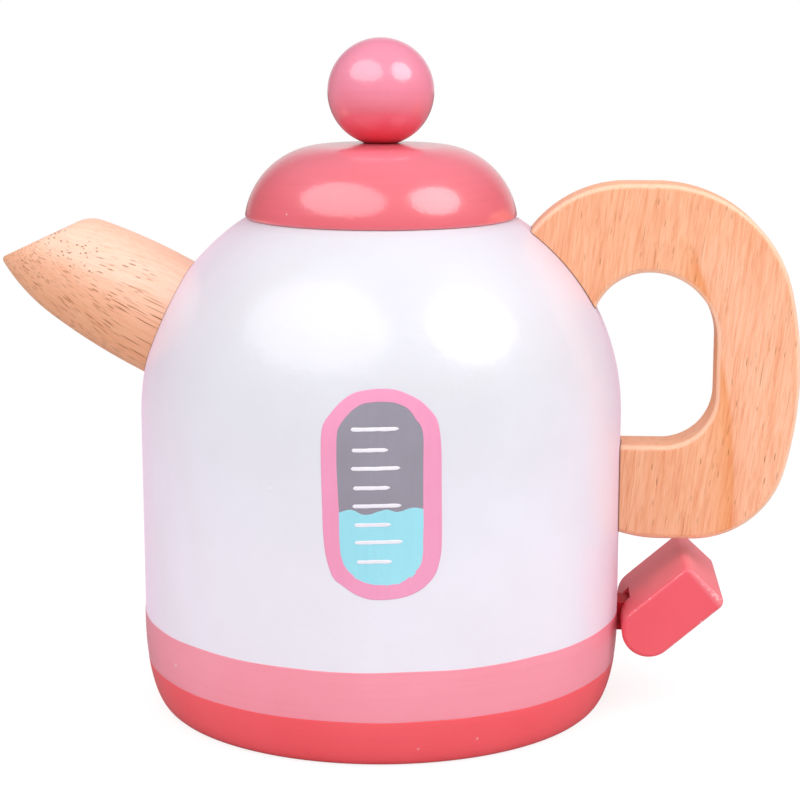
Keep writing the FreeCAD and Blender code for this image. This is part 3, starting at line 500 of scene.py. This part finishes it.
def spanAt(loop, height):
    crossings = []
    for a, b in zip(loop, loop[1:] + loop[:1]):
        if (a.y - height) * (b.y - height) < 0:
            crossings.append(a.x + (b.x - a.x) * (height - a.y) / (b.y - a.y))
    return (min(crossings), max(crossings)) if crossings else (0.0, 0.0)


def gridFaces(rows, columns, start=0, wrap=False):
    faces = []
    for i in range(rows - 1):
        for j in range(columns if wrap else columns - 1):
            n = (j + 1) % columns
            faces.append((start + i * columns + j, start + i * columns + n, start + (i + 1) * columns + n, start + (i + 1) * columns + j))
    return faces


def paintFilm(name, points, faces, material, node):
    piece = makePiece(name, points, faces, [material])
    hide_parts(node)
    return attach(piece, "kettle")


def brushRelief(across, height, seed):
    # shallow bristle tracks
    return 0.75 + 0.35 * noise.noise(Vector((across * 1.3, height * 0.25, seed)))


def makeGauge():
    frameLoop = smoothLoop(gauge["frame"], 320)
    windowLoop = smoothLoop(gauge["window"], 320)
    shares = [0, 0.02, 0.05, 0.1, 0.25, 0.5, 0.75, 0.9, 0.95, 0.98, 1]
    points = []
    for share in shares:
        for outer, inner in zip(frameLoop, windowLoop):
            spot = outer.lerp(inner, share)
            edge = min(share, 1 - share) * (outer - inner).length
            full = math.sqrt(max(0.0, 1 - (1 - min(1.0, edge / gauge["lip"])) ** 2))
            points.append(onFront(spot.x, spot.y, 0.02 + gauge["frameThick"] * full * brushRelief(spot.x, spot.y, 3.0)))
    ringEnamel = glossPaint("pink_brushed_enamel", ringPaint)
    paintFilm("gauge_ring", points, gridFaces(len(shares), len(frameLoop), wrap=True), ringEnamel, "gauge_frame")

    # the grey runs on under the water paint, and both run on under the ring
    tuck = [Vector((p.x * 1.05, 59.1 + (p.y - 59.1) * 1.02)) for p in windowLoop]
    top, bottom = max(p.y for p in tuck), min(p.y for p in tuck)
    columns = 49
    points, rows = [], 60
    for i in range(rows):
        height = 53.5 + (top - 0.02 - 53.5) * math.sin(math.pi / 2 * i / (rows - 1))
        left, right = spanAt(tuck, height)
        for j in range(columns):
            across = left + (right - left) * j / (columns - 1)
            points.append(onFront(across, height, 0.02 + gauge["windowThick"] * brushRelief(across, height, 11.0)))
    greyEnamel = glossPaint("grey_brushed_enamel", greyPaint)
    paintFilm("gauge_glass", points, gridFaces(rows, columns), greyEnamel, "gauge_window")

    wave = smoothLoop(gauge["waveTop"], 200, closed=False)
    points, rows = [], 56
    for i in range(rows):
        share = math.sin(math.pi / 2 * i / (rows - 1))
        base = bottom + 0.02 + (55.6 - bottom - 0.02) * share
        left, right = spanAt(tuck, base)
        for j in range(columns):
            across = left + (right - left) * j / (columns - 1)
            crest = min(wave, key=lambda p: abs(p.x - across)).y
            height = base + (crest - 55.6) * smoothStep(0.6, 1.0, share)
            edge = crest - height
            lip = math.sqrt(max(0.0, 1 - (1 - min(1.0, edge / gauge["lip"])) ** 2))
            points.append(onFront(across, height, 0.03 + gauge["waterThick"] * (0.25 + 0.75 * lip) * brushRelief(across, height, 19.0)))
    cyanEnamel = glossPaint("cyan_brushed_enamel", cyanPaint)
    paintFilm("gauge_water_paint", points, gridFaces(rows, columns), cyanEnamel, "gauge_water")

    points, faces = [], []
    lean = math.tan(math.radians(gauge["markTiltDeg"]))
    for number, (start, end, middle) in enumerate(gauge["marks"]):
        along, wide = 28, 9
        first = len(points)
        for i in range(along):
            share = i / (along - 1)
            across = start + (end - start) * share
            fromLeft, fromRight = across - start, end - across
            half = gauge["markHalf"] * (1 + 0.12 * noise.noise(Vector((across * 0.7, number * 5.0, 0))))
            half *= math.sqrt(max(0.0, 1 - (1 - min(1.0, fromLeft / 0.4)) ** 2)) * (max(0.0, min(1.0, fromRight / 0.9)) ** 0.55)
            centre = middle + (across - (start + end) / 2) * lean + 0.06 * noise.noise(Vector((across * 0.4, number * 3.0, 7)))
            for j in range(wide):
                side = 2 * j / (wide - 1) - 1
                dome = math.sqrt(max(0.0, 1 - side ** 4))
                points.append(onFront(across, centre + half * side, 0.08 + gauge["markThick"] * dome * brushRelief(across, centre, 27.0)))
        faces += gridFaces(along, wide, first)
    faces = [tuple(reversed(f)) for f in faces]
    paintFilm("gauge_strokes", points, faces, glossPaint("white_brushed_enamel", markPaint), "gauge_marks")


makeGauge()
print("gauge painted")


lid = {
    "rim": 30.45, "height": 16.4, "sideRadius": 18.0, "crownRadius": 180.0, "rimRound": 0.7,
    "plugRadius": 24.6, "plugLength": 10.0, "plugRound": 1.0, "around": 256,
}
# the height ramp darkens the lid's lower part and leaves the crown full: painted shade low down, painted light on the
# crown
lidPaint = dict(paintCommon, colour="#f07c8c", shade="#ed7584", fadeHeights=(111, 125), fade=[(0.0, "#fedbdb"), (0.5, "#fee5e5"), (1.0, "#ffffff")], nibColour="#f7a9b0", nibSpacing=3.5, nibSize=0.09, nibShare=0.7)
# the ball is rose on top and darkens to deep red towards its seat: painted shade and a painted reflection of the coral
# lid below
knob = {"radius": 11.8, "seatDepth": 0.6, "around": 192}
knobPaint = dict(paintCommon, colour="#f798b2", shade="#f48da8", nibColour="#f9c4d2", fadeHeights=(125.5, 147),
                 fade=[(0.05, "#f64a56"), (0.2, "#f9757f"), (0.4, "#fcb8bc"), (0.62, "#fff0f0"), (1.0, "#ffffff")])


def seatOnCrown():
    # the crown is turned flat under the knob: how wide, and how high
    wide = math.sqrt(knob["radius"] ** 2 - (knob["radius"] - knob["seatDepth"]) ** 2)
    drop = lid["crownRadius"] - math.sqrt(lid["crownRadius"] ** 2 - wide ** 2)
    return wide, body["shoulder"] + lid["height"] - drop


def makeLid():
    foot = body["shoulder"]
    crown = (0, foot + lid["height"] - lid["crownRadius"])
    out = lid["rim"] - lid["sideRadius"]
    side = (out, crown[1] + math.sqrt((lid["crownRadius"] - lid["sideRadius"]) ** 2 - out ** 2))
    meetDeg = math.degrees(math.atan2(side[1] - crown[1], side[0]))
    seat, seatHeight = seatOnCrown()
    seatDeg = math.degrees(math.acos(seat / lid["crownRadius"]))
    turn = lid["rimRound"]
    rimUp = foot + turn - side[1]
    rimOut = math.sqrt((lid["sideRadius"] - turn) ** 2 - rimUp ** 2)
    rimDeg = math.degrees(math.atan2(rimUp, rimOut))
    profile = [(0, seatHeight, 0), (seat * 0.9, seatHeight, 0)]
    profile += [(r, z, 0) for r, z in arcPoints(crown, lid["crownRadius"], seatDeg, meetDeg, 24)]
    profile += [(r, z, 0) for r, z in arcPoints(side, lid["sideRadius"], meetDeg, rimDeg, 44)][1:]
    profile += [(r, z, 0) for r, z in arcPoints((out + rimOut, foot + turn), turn, rimDeg, -90, 8)][1:]
    plugOut, plugLow = lid["plugRadius"], foot - lid["plugLength"]
    profile += [(28.5, foot, 1), (plugOut + 0.6, foot, 1), (plugOut, foot - 0.4, 1)]
    soft = lid["plugRound"]
    profile += [(plugOut, foot - 0.8 - (lid["plugLength"] - 0.8 - soft) * i / 6, 1) for i in range(7)]
    profile += [(r, z, 1) for r, z in arcPoints((plugOut - soft, plugLow + soft), soft, -10, -90, 5)]
    profile += [(12, plugLow, 1), (0, plugLow, 1)]
    profile = profile[::-1]
    profile = [(r, z, profile[min(k + 1, len(profile) - 1)][2]) for k, (r, z, slot) in enumerate(profile)]
    piece = turnedPiece("lid_turned", profile, lid["around"], [glossPaint("coral_gloss_enamel_lid", lidPaint), bareRubberwood])
    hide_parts("lid")
    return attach(piece, "lid")


def makeKnob():
    # a turned ball, its flat seat glued on the lid
    seat, seatHeight = seatOnCrown()
    centre = seatHeight + knob["radius"] - knob["seatDepth"]
    seatDeg = -math.degrees(math.acos(seat / knob["radius"]))
    arc = arcPoints((0, centre), knob["radius"], seatDeg, 90, 84)
    profile = [(0, seatHeight, 0), (seat * 0.5, seatHeight, 0)] + [(r, z, 0) for r, z in arc[:-1]] + [(0, arc[-1][1], 0)]
    piece = turnedPiece("knob_turned", profile, knob["around"], [glossPaint("rose_gloss_enamel", knobPaint)])
    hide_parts("lid_knob")
    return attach(piece, "lid")


makeLid()
makeKnob()
print("lid and knob made")


# grain leans 7 degrees over in the board, and one growth line bows down the grip, 80 mm out at its middle
handleWood = dict(woodCommon, origin=(75, 0, 44), grainTurnDeg=7, ringsUpright=True, ringFoot=44, ringBow=0.0028, ringPitch=60, ringStart=0.5 - 79.6 / 60, ringWander=1.2,
                  rings=[(0.0, "#fabb95"), (0.40, "#f9ba93"), (0.462, "#f8b284"), (0.49, "#f4a671"), (0.497, "#f3a470"), (0.512, "#fbbe9c"), (0.62, "#fcc09e"), (1.0, "#fabb96")],
                  ringFade=(108, 98), plain="#fabb95", poreFewest=0.3, streaks=[dict(broadStreak, depth=0.45), dict(fineStreak, depth=0.6)],
                  pores=[hairs, dashes, {"shift": (9, 2, 5), "apart": 1.3, "long": 12, "size": 0.12, "fewer": 0.45, "dark": 0.8, "colour": "#9a6243"}],
                  easedFrom=4.95, easedTo=6.25, easedHighlightStrength=0.6, easedHighlightColour="#fdd4b8", seam=0.4, seamStrength=0.9, seamColour="#74432e")
# on the spout the pores are long by the body, short and steep low down, and dots high up near the mouth
spoutLines = {"shift": (0, 0, 0), "apart": 0.5, "long": 11, "size": 0.33, "fewer": 0.0, "dark": 0.95, "colour": "#a5632f", "fades": [("Z", 14, 9), ("X", 7, 4)]}
spoutDashes = {"shift": (5, 2, 8), "apart": 0.52, "long": 4.6, "size": 0.35, "fewer": 0.0, "dark": 0.95, "colour": "#aa6733", "fades": [("X", 3, 0), ("Z", 5, 9)]}
spoutDots = {"shift": (1, 6, 4), "apart": 1.25, "long": 7, "size": 0.27, "fewer": 0.0, "dark": 0.85, "colour": "#95654c", "toFront": True, "fades": [("X", 0, 2), ("X", 9, 7), ("Z", 15, 18)]}
spoutFlecks = {"shift": (2, 1, 3), "apart": 0.8, "long": 3.6, "size": 0.3, "fewer": 0.1, "dark": 0.85, "colour": "#a06a48", "fades": [("X", 1, 3), ("X", 10, 8), ("Z", 20, 17), ("Z", 3, 7)]}
# the spout's broad band runs orange low down to pale on top: grain tone with painted shade below and painted light
# above
spoutWood = dict(woodCommon, origin=(-48.6, 0, 87.6), grainTurnDeg=-62, narrowing=0.0013, ringPitch=60, ringStart=0.5, ringLean=0.05, ringWander=1.5,
                 rings=[(0.0, "#f8b48b"), (0.36, "#f7b48c"), (0.43, "#f5b691"), (0.50, "#f6ba99"), (0.555, "#f9c6ab"), (0.60, "#fbcfb8"), (0.68, "#fbd0ba"), (0.76, "#f8c4ab"), (1.0, "#f7c0a6")],
                 streaks=[dict(broadStreak, depth=0.25), dict(fineStreak, depth=0.35)], pores=[dict(hairs, dark=0.4), spoutLines, spoutDashes, spoutDots, spoutFlecks], poreFewest=0.6,
                 seam=0.2, seamStrength=0.35, seamColour="#a06a4a")
dowelWood = dict(woodCommon, ringPitch=2.5, grainTurnDeg=90, roughness=(0.6, 0.7), oil=0.0, pores=[dict(dashes, apart=0.5, long=1.5, size=0.12)],
                 rings=[(0.0, "#ecc9a4"), (0.45, "#e6bf97"), (0.9, "#dcae82"), (1.0, "#e6bf97")])
# edge is the colour of the painted highlight along the lever's edges and of the painted reflection on its end face;
# chip is the paint worn through
leverPaint = dict(paintCommon, colour="#f4636f", shade="#f15c69", nibColour="#f7a9ae", coat=0.0, ior=1.38, roughness=(0.3, 0.4), strokeSize=(14, 14, 14), strokeDepth=0.05,
                  edge="#f58e97", chip="#f6c8c4",
                  box={"middle": (63.72, 0, 22.56), "turnDeg": -41, "half": (12.2, 16, 5.95), "wide": 0.6, "strength": 0.75, "endFrom": 10.9, "endPaintedLight": 0.4})

# the tongue is painted deep red: painted shade for the dark gap between the body and the lever
tongueShadePaint = dict(leverPaint, colour="#c4202c", shade="#b01824", nibColour="#d8505a", roughness=(0.5, 0.6), ior=1.25, edge="#c4202c", chip="#c4202c")

# the solids that keep the CAD's own mesh take their finish here
dowelBeech = oiledWood("beech_dowel", dowelWood)
finishes = {
    "spout": oiledWood("rubberwood_turned", spoutWood), "handle": oiledWood("rubberwood_board", handleWood),
    "switch_lever": glossPaint("coral_gloss_enamel_lever", leverPaint), "switch_tongue": glossPaint("tongue_red_enamel_painted_shade", tongueShadePaint),
    "spout_dowel": dowelBeech, "handle_dowel_lower": dowelBeech, "handle_dowel_upper": dowelBeech, "knob_dowel": dowelBeech,
    # the pin is coloured dark red-brown: painted shade for where it shows in the gap inside the lever
    "switch_pin": drawnSteel("pin_steel_painted_shade", {"colour": "#7a5552", "shade": "#5d3b3a"}),
}
for nodeName, material in finishes.items():
    nodes[nodeName].data.materials.clear()
    nodes[nodeName].data.materials.append(material)
print("solids finished")


# white studio: paper floor, two soft boxes, pale room
studio = {
    "sideFill": 0.47, "topFill": 0.8, "mirroredSides": 0.1, "mirroredBack": 0.8, "floorSize": 6.0, "floorShadow": 0.35, "floorColour": "#dedede", "floorMirrored": "#969696", "floorGlow": 0.45, "floorFadeFrom": 0.08, "floorFadeTo": 0.26,
    "leftBox": {"turnDeg": -38, "riseDeg": 47, "away": 0.9, "size": (1.2, 0.74), "power": 4.2, "mirrored": True},
    "rightBox": {"turnDeg": 62, "riseDeg": 42, "away": 0.9, "size": (0.68, 0.58), "power": 3.1, "mirrored": True},
    "sideBox": {"turnDeg": 104, "riseDeg": 32, "away": 1.0, "size": (0.9, 0.9), "power": 1.6, "mirrored": False},
    "aim": (0, 0, 0.09),
}


# White paper sweep: shows the object's soft shadow near it and goes over to plain white further out
def paperFloor():
    material, tree = newMaterial("white_paper_sweep")
    place = addNode(tree, "TexCoord")
    reach = addNode(tree, "VectorMath", {"operation": "LENGTH"}, {0: place.outputs["Object"]})
    fade = addNode(tree, "MapRange", {"interpolation_type": "SMOOTHSTEP", "From Min": studio["floorFadeFrom"], "From Max": studio["floorFadeTo"],
                                      "To Min": 1 - studio["floorShadow"], "To Max": 1.0}, {"Value": reach.outputs["Value"]})
    rays = addNode(tree, "LightPath")
    seen = addNode(tree, "Math", {"operation": "MULTIPLY"}, {0: rays.outputs["Is Camera Ray"], 1: fade.outputs["Result"]})
    lift = addNode(tree, "Math", {"operation": "MULTIPLY", 1: studio["floorGlow"]}, {0: rays.outputs["Is Camera Ray"]})
    fibre = addNode(tree, "TexNoise", {"Scale": 1 / (0.6 * mm), "Detail": 3.0}, {"Vector": place.outputs["Object"]})
    bump = addNode(tree, "Bump", {"Distance": 0.02 * mm}, {"Height": fibre.outputs["Fac"]})
    mirrored = addNode(tree, "MixRGB", {"Color1": linearColour(studio["floorColour"]), "Color2": linearColour(studio["floorMirrored"])}, {"Fac": rays.outputs["Is Glossy Ray"]})
    paper = addNode(tree, "BsdfDiffuse", {}, {"Color": mirrored.outputs["Color"], "Normal": bump.outputs["Normal"]})
    haze = addNode(tree, "Emission", {"Color": (1, 1, 1, 1)}, {"Strength": lift.outputs["Value"]})
    lit = addNode(tree, "AddShader", {}, {0: paper.outputs["BSDF"], 1: haze.outputs["Emission"]})
    glow = addNode(tree, "Emission", {"Color": (1, 1, 1, 1), "Strength": 1.0})
    mix = addNode(tree, "MixShader", {}, {"Fac": seen.outputs["Value"], 1: lit.outputs["Shader"], 2: glow.outputs["Emission"]})
    addNode(tree, "OutputMaterial", {}, {"Surface": mix.outputs["Shader"]})
    half = studio["floorSize"] / 2 / mm
    floor = makePiece("paper_sweep", [(-half, -half, 0), (half, -half, 0), (half, half, 0), (-half, half, 0)], [(0, 1, 2, 3)], [material])


def softBox(name, look):
    lamp = bpy.data.lights.new(name, "AREA")
    lamp.shape = "ELLIPSE"
    lamp.size, lamp.size_y = look["size"]
    lamp.energy = look["power"]
    box = bpy.data.objects.new(name, lamp)
    scene.collection.objects.link(box)
    turn, rise = math.radians(look["turnDeg"]), math.radians(look["riseDeg"])
    way = Vector((math.sin(turn) * math.cos(rise), -math.cos(turn) * math.cos(rise), math.sin(rise)))
    box.location = Vector(studio["aim"]) + way * look["away"]
    box.rotation_euler = way.to_track_quat("Z", "Y").to_euler()
    box.visible_glossy = look["mirrored"]


# Pale room: plain white behind the object, dimmer where it lights the object, most from above, and in its gloss bright only far back
def whiteRoom():
    world = bpy.data.worlds.new("white_room")
    world.use_nodes = True
    tree = world.node_tree
    tree.nodes.clear()
    rays = addNode(tree, "LightPath")
    way = addNode(tree, "TexCoord")
    towards = addNode(tree, "SeparateXYZ", {}, {"Vector": way.outputs["Generated"]})
    fill = addNode(tree, "MapRange", {"From Min": 0.0, "From Max": 0.9, "To Min": studio["sideFill"], "To Max": studio["topFill"]}, {"Value": towards.outputs["Z"]})
    mirrored = addNode(tree, "MapRange", {"From Min": 0.75, "From Max": 1.0, "To Min": studio["mirroredSides"], "To Max": studio["mirroredBack"]}, {"Value": towards.outputs["Y"]})
    unseen = addNode(tree, "MapRange", {}, {"Value": rays.outputs["Is Glossy Ray"], "To Min": fill.outputs["Result"], "To Max": mirrored.outputs["Result"]})
    shown = addNode(tree, "Math", {"operation": "MAXIMUM"}, {0: rays.outputs["Is Camera Ray"], 1: rays.outputs["Is Transmission Ray"]})
    level = addNode(tree, "MapRange", {"To Max": 1.0}, {"Value": shown.outputs["Value"], "To Min": unseen.outputs["Result"]})
    glow = addNode(tree, "Background", {"Color": (1, 1, 1, 1)}, {"Strength": level.outputs["Result"]})
    addNode(tree, "OutputWorld", {}, {"Surface": glow.outputs["Background"]})
    scene.world = world


paperFloor()
softBox("soft_box_left", studio["leftBox"])
softBox("soft_box_right", studio["rightBox"])
softBox("soft_box_side", studio["sideBox"])
whiteRoom()
scene.view_settings.view_transform = "Standard"

# a long lens a little above, 4 degrees round to the handle's side
cameraLook = {"aimSide": 0.00422, "back": 0.4637, "height": 0.1567, "dip": 0.18843, "turnDeg": 4.0, "lens": 93.78}
camera = bpy.data.objects.new("camera", bpy.data.cameras.new("camera"))
scene.collection.objects.link(camera)
turn = math.radians(cameraLook["turnDeg"])
camera.location = Matrix.Rotation(turn, 3, "Z") @ Vector((cameraLook["aimSide"], -cameraLook["back"], cameraLook["height"]))
camera.rotation_euler = (math.pi / 2 - cameraLook["dip"], 0, turn)
camera.data.lens = cameraLook["lens"]
camera.data.sensor_width = 36
scene.camera = camera
print("studio set")
